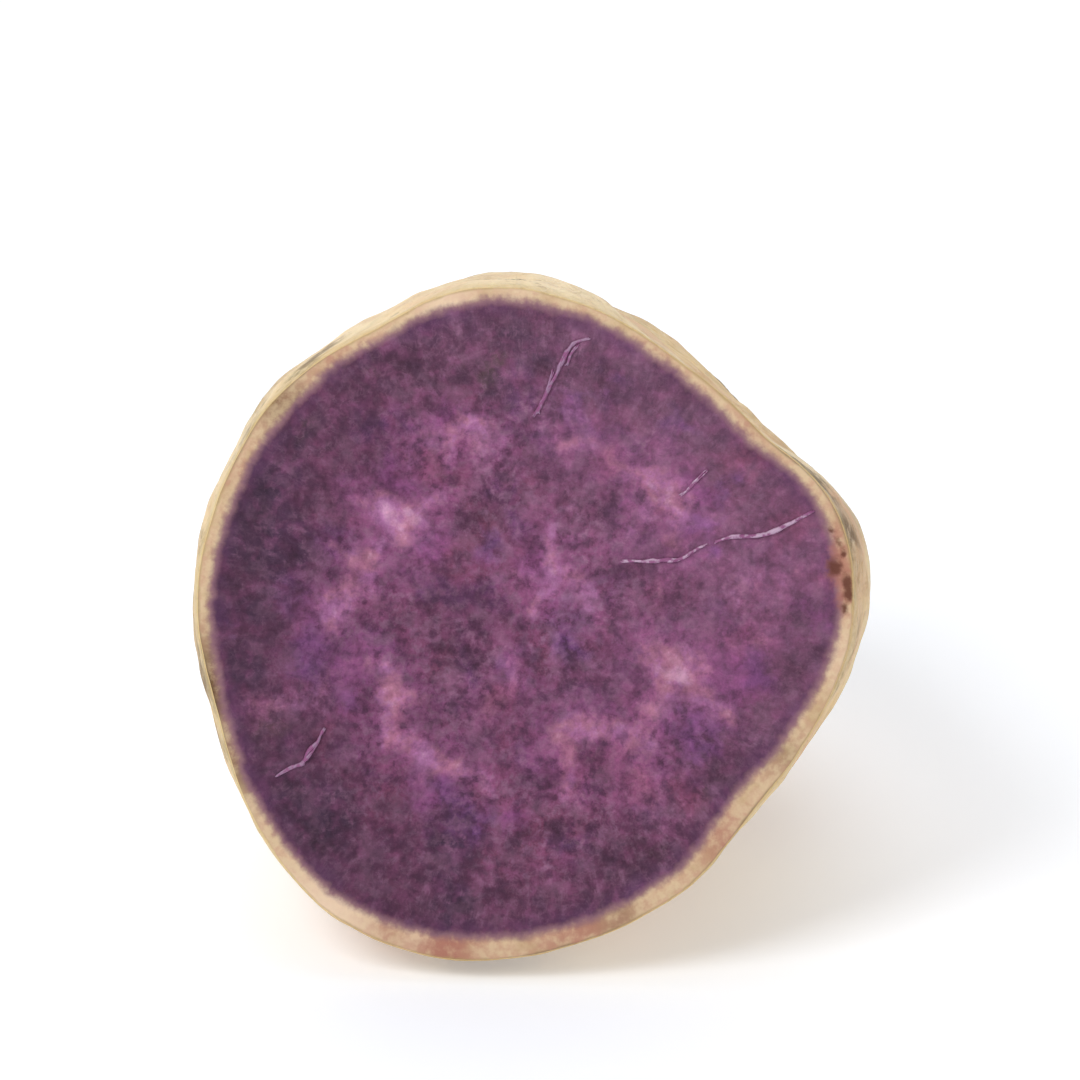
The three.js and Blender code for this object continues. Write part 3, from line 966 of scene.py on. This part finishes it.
def fleshGrain(tree, colour, where, outer, noises):    # wool, drawn out into streaks toward the rim
    look = fleshLook
    mottle, starch, speckle, streaks = (noises[name] for name in ("mottle", "starch", "speckle", "streaks"))
    inputs = {0: times(tree, outer, 0.55), 2: mottle, 3: streaks}
    woolly = addNode(tree, "ShaderNodeMix", inputs).outputs[0]
    plain = fade(tree, grain(tree, where, 0.11, 2, 0.5), 0.38, 0.62, 1.15, 0.6)
    darker = times(tree, fade(tree, woolly, 0.50, 0.33, 0, 0.6), plain)
    lighter = times(tree, fade(tree, woolly, 0.49, 0.67, 0, 0.75), plain)
    colour = tint(tree, darker, colour, look["dark"])
    colour = tint(tree, lighter, colour, look["light"])
    colour = shaded(
        tree, colour, look,
        (starch, 0.48, 0.28, 0.16, "dark"),
        (starch, 0.52, 0.72, 0.22, "light"),
        (speckle, 0.46, 0.28, 0.06, "dark"),
        (speckle, 0.54, 0.74, 0.06, "light"),
    )
    wool = times(tree, threads(tree, where, 0.68, 0.04), fade(tree, mottle, 0.35, 0.6, 0.2, 1.0))
    gaps = threads(tree, stretched(tree, where, (1, 1, 1), (0.3, 0.9, 0.5)), 0.5, 0.04)
    return coated(tree, colour, look, (wool, 0.36, "light"), (gaps, 0.2, "dark"))


def fleshDrift(tree, colour, where, place):    # over the grain: small patches, clouds and whole sides
    patches = grain(tree, warped(tree, where, 0.45, 1.6), 0.62, 2, 0.5)
    clouds = grain(tree, warped(tree, where, 0.3, 2.5), 0.33, 3, 0.55)
    parts = addNode(tree, "ShaderNodeSeparateXYZ", {0: place}).outputs
    darkSide = calc(tree, "MULTIPLY_ADD", parts["Z"], 0.3, parts["X"])
    lightSide = calc(tree, "MULTIPLY_ADD", parts["Z"], 0.6, parts["X"])
    return shaded(
        tree, colour, fleshLook,
        (patches, 0.50, 0.34, 0.3, "slate"),
        (patches, 0.50, 0.66, 0.3, "mauve"),
        (clouds, 0.50, 0.34, 0.42, "dark"),
        (clouds, 0.50, 0.66, 0.36, "light"),
        (darkSide, 0.0, -30.0, 0.3, "dark"),
        (lightSide, -4.0, 34.0, 0.24, "light"),
    )


def fleshVeins(tree, colour, noises):          # the pale strokes, whitest in their middle
    look = fleshLook
    pale = plus(tree, painted(tree, "pale"), centred(tree, noises["mottle"], 0.5),
                centred(tree, noises["starch"], 0.3))
    blush = tint(tree, fade(tree, noises["cloud"], 0.40, 0.60), look["pale"], look["paleRosy"])
    colour = tint(tree, fade(tree, pale, 0.14, 0.84, 0, 0.72), colour, blush)
    return shaded(tree, colour, look, (pale, 0.66, 1.10, 0.55, "palest"))


def fleshTone(tree, colour, where):            # last, lighter and darker without a change of colour
    tone = grain(tree, warped(tree, where, 0.5, 1.0), 0.26, 5, 0.8)
    tone = calc(tree, "MULTIPLY_ADD", tone, 1.95, 0.01)
    for name, amount in (("slate", -0.15), ("pocket", -0.13), ("halo", 0.06)):
        tone = calc(tree, "MULTIPLY_ADD", painted(tree, name), amount, tone)
    return addNode(tree, "ShaderNodeVectorMath", {0: colour, 3: tone}, operation="SCALE").outputs[0]


def cortexColour(tree, mottle, cloud):
    look = fleshLook
    rind = tint(tree, fade(tree, mottle, 0.36, 0.66), look["cortex"], look["cortexWarm"])
    rind = shaded(tree, rind, look, (cloud, 0.45, 0.7, 0.5, "cortexTan"))
    rind = coated(tree, rind, look, (painted(tree, "cream"), 0.8, "cream"))
    blotch = fade(tree, plus(tree, cloud, times(tree, mottle, 0.6)), 0.6, 0.95, 0.45, 1.1)
    # pink cortex, also painted shade near the bottom, and brown painted shade where the rim lies in shade
    return coated(tree, rind, look, (painted(tree, "blush"), blotch, "blush"),
                  (painted(tree, "rind"), blotch, "rindShade"))


def fleshRim(tree, colour, fromRim, past, ragged, noises):      # the dark edge, the cortex and the peel
    look = fleshLook
    mottle, cloud = noises["mottle"], noises["cloud"]
    edge = times(tree, fade(tree, past, 3.0, 1.4), fade(tree, cloud, 0.40, 0.64, 0.1, 0.5))
    colour = tint(tree, edge, colour, look["edge"])
    colour = shaded(tree, colour, look, (past, 1.2, 0.3, 0.85, "pink"))
    colour = tint(tree, fade(tree, past, 0.55, -0.55), colour, cortexColour(tree, mottle, cloud))
    colour = shaded(
        tree, colour, look,
        (broken(tree, "sore", ragged), 0.25, 0.9, 0.75, "sore"),
        (broken(tree, "soreSpot", ragged), 0.25, 0.95, 0.85, "soreDark"),
    )
    # the peel line round the cut, with painted shade on it in the listed directions
    peelEdge = plus(tree, fromRim, centred(tree, mottle, 0.5))
    peel = tint(tree, painted(tree, "peel"), look["peel"], look["peelShade"])
    return tint(tree, fade(tree, peelEdge, 0.55, 0.12, 0, 0.75), colour, peel)


def fleshMaterial():
    material, tree, shader = newMaterial("purple flesh")
    look = fleshLook
    place = tuberSpace(tree)
    inputs = {0: place, 1: tuber["noiseSeat"]}
    where = addNode(tree, "ShaderNodeVectorMath", inputs, operation="ADD").outputs[0]
    fromRim = painted(tree, "fromRim")
    noises = {
        "cloud": grain(tree, where, 0.30, 4, 0.62),
        "mottle": grain(tree, where, 0.95, 3, 0.6),
        "starch": grain(tree, where, 2.1, 3, 0.65),
        "speckle": grain(tree, where, 4.8, 2, 0.6),
        "streaks": grain(tree, warped(tree, towardRim(tree, place, fromRim), 0.5, 1.2), 1.15, 3, 0.62),
    }
    sways = (("cloud", 1.4), ("mottle", 0.8), ("streaks", 0.4), ("starch", 0.24))
    wavy = plus(tree, *(centred(tree, noises[name], size) for name, size in sways))
    past = calc(tree, "SUBTRACT", plus(tree, fromRim, wavy), painted(tree, "cortex"))  # mm into the purple
    outer = times(tree, fade(tree, fromRim, 14, 5), fade(tree, past, 0.2, 1.5))
    ragged = plus(tree, centred(tree, noises["mottle"], 0.9), centred(tree, noises["cloud"], 0.8))

    colour = fleshSpots(tree, fleshGround(tree, where), past, ragged)
    colour = fleshGrain(tree, colour, where, outer, noises)
    colour = fleshDrift(tree, colour, where, place)
    for name, strength in (("rosy", 0.4), ("magenta", 0.5), ("violet", 0.32)):
        hue = fade(tree, broken(tree, name, ragged), 0.0, 1.0, 0, strength)
        colour = tint(tree, hue, colour, look[name], "COLOR")
    colour = fleshVeins(tree, colour, noises)
    colour = fleshTone(tree, colour, where)
    colour = fleshRim(tree, colour, fromRim, past, ragged, noises)
    knifeMarks = grain(tree, stretched(tree, where, (0.12, 1, 1.9), (0, 0.5, 0)), 1.0, 3, 0.6)
    finish = fade(tree, noises["starch"], 0.3, 0.7, look["roughness"] + 0.1, look["roughness"] - 0.1)
    setInputs(tree, shader, {
        "Base Color": colour,
        "Roughness": finish,
        "Specular IOR Level": 0.22,
        "Subsurface Weight": 0.06,
        "Subsurface Radius": (0.0012, 0.0006, 0.0009),
        "Subsurface Scale": 1.0,
        "Normal": bumpFrom(
            tree,
            (knifeMarks, 0.3, 0.25),
            (noises["mottle"], 0.5, 0.20),
            (noises["starch"], 0.45, 0.12),
            (noises["speckle"], 0.3, 0.05),
        ),
    })
    return material


# Fibres that the knife has pulled up on the face, and hair roots by the stub

fibres = {
    "thickness": 0.2,          # all in mm
    "rise": 0.10,              # how far a fibre's middle stands up
    "sunk": 0.08,              # and how deep its ends lie in the flesh
    "spread": 0.22,            # how far its two threads stray
    "paths": (                 # share of that thickness, then the points that it runs through, as (x, z)
        (1.0, ((6.6, 32.0), (5.0, 31.6), (3.8, 30.2), (2.8, 27.8), (1.8, 25.8), (0.2, 23.0))),
        (0.9, ((2.4, 28.4), (2.0, 26.2), (1.2, 24.4), (0.8, 23.2))),
        (0.8, ((5.2, 31.2), (4.4, 30.0), (4.0, 28.8))),
        (1.0, ((10.6, 6.6), (13.2, 6.6), (15.4, 6.7), (17.0, 6.9), (18.8, 7.8), (20.4, 8.6))),
        (1.2, ((21.2, 8.9), (23.4, 9.5), (26.8, 9.8), (29.0, 10.8), (32.6, 12.8))),
        (0.6, ((17.2, 14.2), (18.8, 15.6), (20.4, 17.2))),
        (1.0, ((-28.8, -19.2), (-27.0, -18.2), (-26.0, -17.6), (-24.6, -16.1), (-23.8, -14.5),
               (-23.4, -13.5))),
    ),
    "colour": "#c3a3bc",
    "dull": "#8b6385",         # toward the face's left they hardly stand out
}

roots = {
    "thickness": 0.16,
    "startRadius": 2.2,        # inside the stub
    "strands": (               # angle round the stub, mm past the body's end, length, droop
        (20, 0.4, 5.2, 0.8), (95, 1.6, 3.6, -0.4), (150, 0.2, 6.0, 0.9), (215, 2.2, 4.2, 0.5),
        (280, 1.0, 4.8, 0.2), (330, 3.0, 3.2, 0.6),
    ),
    "colour": "#6a4a30",
}


def growStrand(bm, path, radii):   # a thin tube through the points, closed at both ends
    loops = []
    for index, place in enumerate(path):
        ahead = path[min(index + 1, len(path) - 1)] - path[max(index - 1, 0)]
        turn = ahead.to_track_quat("Z", "Y").to_matrix().to_4x4()
        made = bmesh.ops.create_circle(bm, cap_ends=index in (0, len(path) - 1), segments=6,
                                       radius=radii[index], matrix=Matrix.Translation(place) @ turn)
        loops.append({e for v in made["verts"] for e in v.link_edges})
    for before, after in zip(loops, loops[1:]):
        bmesh.ops.bridge_loops(bm, edges=list(before | after))


def curvedPath(points, steps):     # a smooth line through the points
    line = []
    for index in range(len(points) - 1):
        before, start = points[max(index - 1, 0)], points[index]
        end, after = points[index + 1], points[min(index + 2, len(points) - 1)]
        for step in range(steps):
            t = step / steps
            line.append(start + 0.5 * t * (end - before + t * (2 * before - 5 * start + 4 * end - after
                        + t * (3 * (start - end) + after - before))))
    return line + [points[-1]]


def strandPiece(name, bm, material):
    bmesh.ops.recalc_face_normals(bm, faces=bm.faces)
    for face in bm.faces:
        face.smooth = True
    bm.transform(fromTuber)
    mesh = meshFrom(bm, name)
    mesh.materials.append(material)
    piece = addObject(name, mesh)
    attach(piece, "root")
    print(name + ":", len(mesh.polygons), "faces")


def fibreMaterial():
    material, tree, shader = newMaterial("pale fibre")
    where = tuberSpace(tree)
    across = addNode(tree, "ShaderNodeSeparateXYZ", {0: where}).outputs["X"]
    colour = tint(tree, fade(tree, across, 14, 2, 0.1, 0.8), fibres["colour"], fibres["dull"])
    colour = tint(tree, fade(tree, grain(tree, where, 1.4, 2), 0.4, 0.6), colour, fleshLook["bright"])
    setInputs(tree, shader, {"Base Color": colour, "Roughness": 0.42})
    return material


def fleshFibres():
    bm = bmesh.new()
    chance = random.Random(5)
    for share, points in fibres["paths"]:
        for thread in range(2):
            line = curvedPath([Vector((x, 0, z)) for x, z in points], 5)
            last = len(line) - 1
            seat = chance.uniform(0, 50)
            for index, place in enumerate(line):
                stray = noise.noise_vector(Vector((seat, index * 0.22, 0)))
                stray *= fibres["spread"] * (1 + thread)
                rise = fibres["rise"] * (0.2 + math.sin(math.pi * index / last) + stray.y)
                place += Vector((stray.x, fibres["sunk"] - rise, stray.z))
            thick = fibres["thickness"] * share
            radii = [thick * (0.3 + 0.7 * math.sin(math.pi * (0.05 + 0.9 * i / last)))
                     * (1 + 0.6 * noise.noise(Vector((seat, 9, i * 0.5)))) for i in range(last + 1)]
            growStrand(bm, line, radii)
    strandPiece("face_fibres", bm, fibreMaterial())


def rootletMaterial():
    material, tree, shader = newMaterial("dry rootlet")
    colour = tint(tree, grain(tree, tuberSpace(tree), 1.1, 2), roots["colour"], skinLook["stubBlack"])
    setInputs(tree, shader, {"Base Color": colour, "Roughness": 0.8})
    return material


def hairRoots():
    bm = bmesh.new()
    chance = random.Random(7)
    for angle, out, length, droop in roots["strands"]:
        turn = math.radians(angle)
        away = Vector((math.cos(turn), 0.25, math.sin(turn)))
        start = middleAt(tuber["bodyLength"] + out) + Vector((away.x, 0, away.z)) * roots["startRadius"]
        points = [start]
        for step in range(1, 6):
            bend = Vector((chance.uniform(-1, 1), chance.uniform(-0.4, 1), chance.uniform(-1, 1) - droop))
            away = (away + bend * 0.35).normalized()
            points.append(points[-1] + away * length / 5)
        line = curvedPath(points, 3)
        radii = [roots["thickness"] * (1 - 0.75 * i / (len(line) - 1)) for i in range(len(line))]
        growStrand(bm, line, radii)
    strandPiece("hair_roots", bm, rootletMaterial())


# Floor, light and camera

studio = {
    "floor": "#eceff5",
    "floorGlow": 0.27,         # a little light of its own, so that the sweep reads as white
    "farGlow": 0.85,           # and more where the lamps no longer reach
    "target": (0.0, -0.004, 0.037),
    "azimuth": 3,
    "elevation": 22,
    "distance": 0.74,
    "lens": 205,
    "lamps": {                 # place, size and power, in metres and watts
        "key": ((-0.55, -0.55, 0.85), 0.55, 6.9),
        "fill": ((0.75, -0.65, 0.45), 0.8, 1.5),
        "top": ((0.1, 0.25, 1.0), 0.8, 1.6),
        "back": ((-0.2, 0.9, 1.3), 1.2, 3.4),
    },
    "backTarget": (0, 0.7, 0), # the back lamp points at the sweep behind
    "sky": 0.27,
    "sweepSize": 3.0,          # its floor reaches so many metres from the middle, and its wall as high
    "sweepCurve": 1.2,
}


def sweepMaterial():
    material, tree, shader = newMaterial("pale sweep")
    where = addNode(tree, "ShaderNodeTexCoord").outputs["Object"]
    away = addNode(tree, "ShaderNodeVectorMath", {0: where}, operation="LENGTH").outputs["Value"]
    setInputs(tree, shader, {
        "Base Color": studio["floor"],
        "Roughness": 0.85,
        "Specular IOR Level": 0.1,
        "Emission Color": (1, 1, 1, 1),
        "Emission Strength": fade(tree, away, 0.25, 1.1, studio["floorGlow"], studio["farGlow"]),
    })
    return material


def sweepFloor():              # a floor that curves up into the backdrop
    bm = bmesh.new()
    size = studio["sweepSize"]
    bmesh.ops.create_grid(bm, x_segments=1, y_segments=1, size=size)
    backEdge = [e for e in bm.edges if all(v.co.y > size * 0.9 for v in e.verts)]
    made = bmesh.ops.extrude_edge_only(bm, edges=backEdge)["geom"]
    raised = [g for g in made if isinstance(g, bmesh.types.BMVert)]
    bmesh.ops.translate(bm, verts=raised, vec=(0, 0, size))
    bmesh.ops.bevel(bm, geom=backEdge, offset=studio["sweepCurve"], affect="EDGES", segments=16,
                    profile=0.5, material=-1)
    for face in bm.faces:
        face.smooth = True
    mesh = meshFrom(bm, "sweep")
    mesh.materials.append(sweepMaterial())
    floor = addObject("sweep", mesh)


def softBox(name, place, size, power, target):
    lamp = bpy.data.lights.new(name, "AREA")
    lamp.shape = "SQUARE"
    lamp.size = size
    lamp.energy = power
    holder = addObject(name, lamp)
    holder.location = place
    holder.rotation_euler = (Vector(target) - Vector(place)).to_track_quat("-Z", "Y").to_euler()


def lightStudio():
    for name, (place, size, power) in studio["lamps"].items():
        softBox(name, place, size, power, studio["backTarget" if name == "back" else "target"])
    world = bpy.data.worlds.new("studio")
    world.use_nodes = True
    sky = world.node_tree.nodes["Background"]
    setInputs(world.node_tree, sky, {"Color": (1, 1, 1, 1), "Strength": studio["sky"]})
    bpy.context.scene.world = world
    bpy.context.scene.view_settings.view_transform = "Standard"


def setCamera():
    azimuth, elevation = math.radians(studio["azimuth"]), math.radians(studio["elevation"])
    level = math.cos(elevation)
    back = Vector((math.sin(azimuth) * level, -math.cos(azimuth) * level, math.sin(elevation)))
    lens = bpy.data.cameras.new("camera")
    lens.lens = studio["lens"]
    lens.clip_start, lens.clip_end = 0.01, 20
    camera = addObject("camera", lens)
    camera.location = Vector(studio["target"]) + back * studio["distance"]
    camera.rotation_euler = (-back).to_track_quat("-Z", "Y").to_euler()
    bpy.context.scene.camera = camera


setCamera()
potato = makeHalf("sweet_potato_half")
potato.data.materials.append(skinMaterial())
potato.data.materials.append(fleshMaterial())
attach(potato, "root")
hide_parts("sweet_potato_half")
fleshFibres()
hairRoots()
sweepFloor()
lightStudio()
print("floor, light and camera set")

print("scene ready")
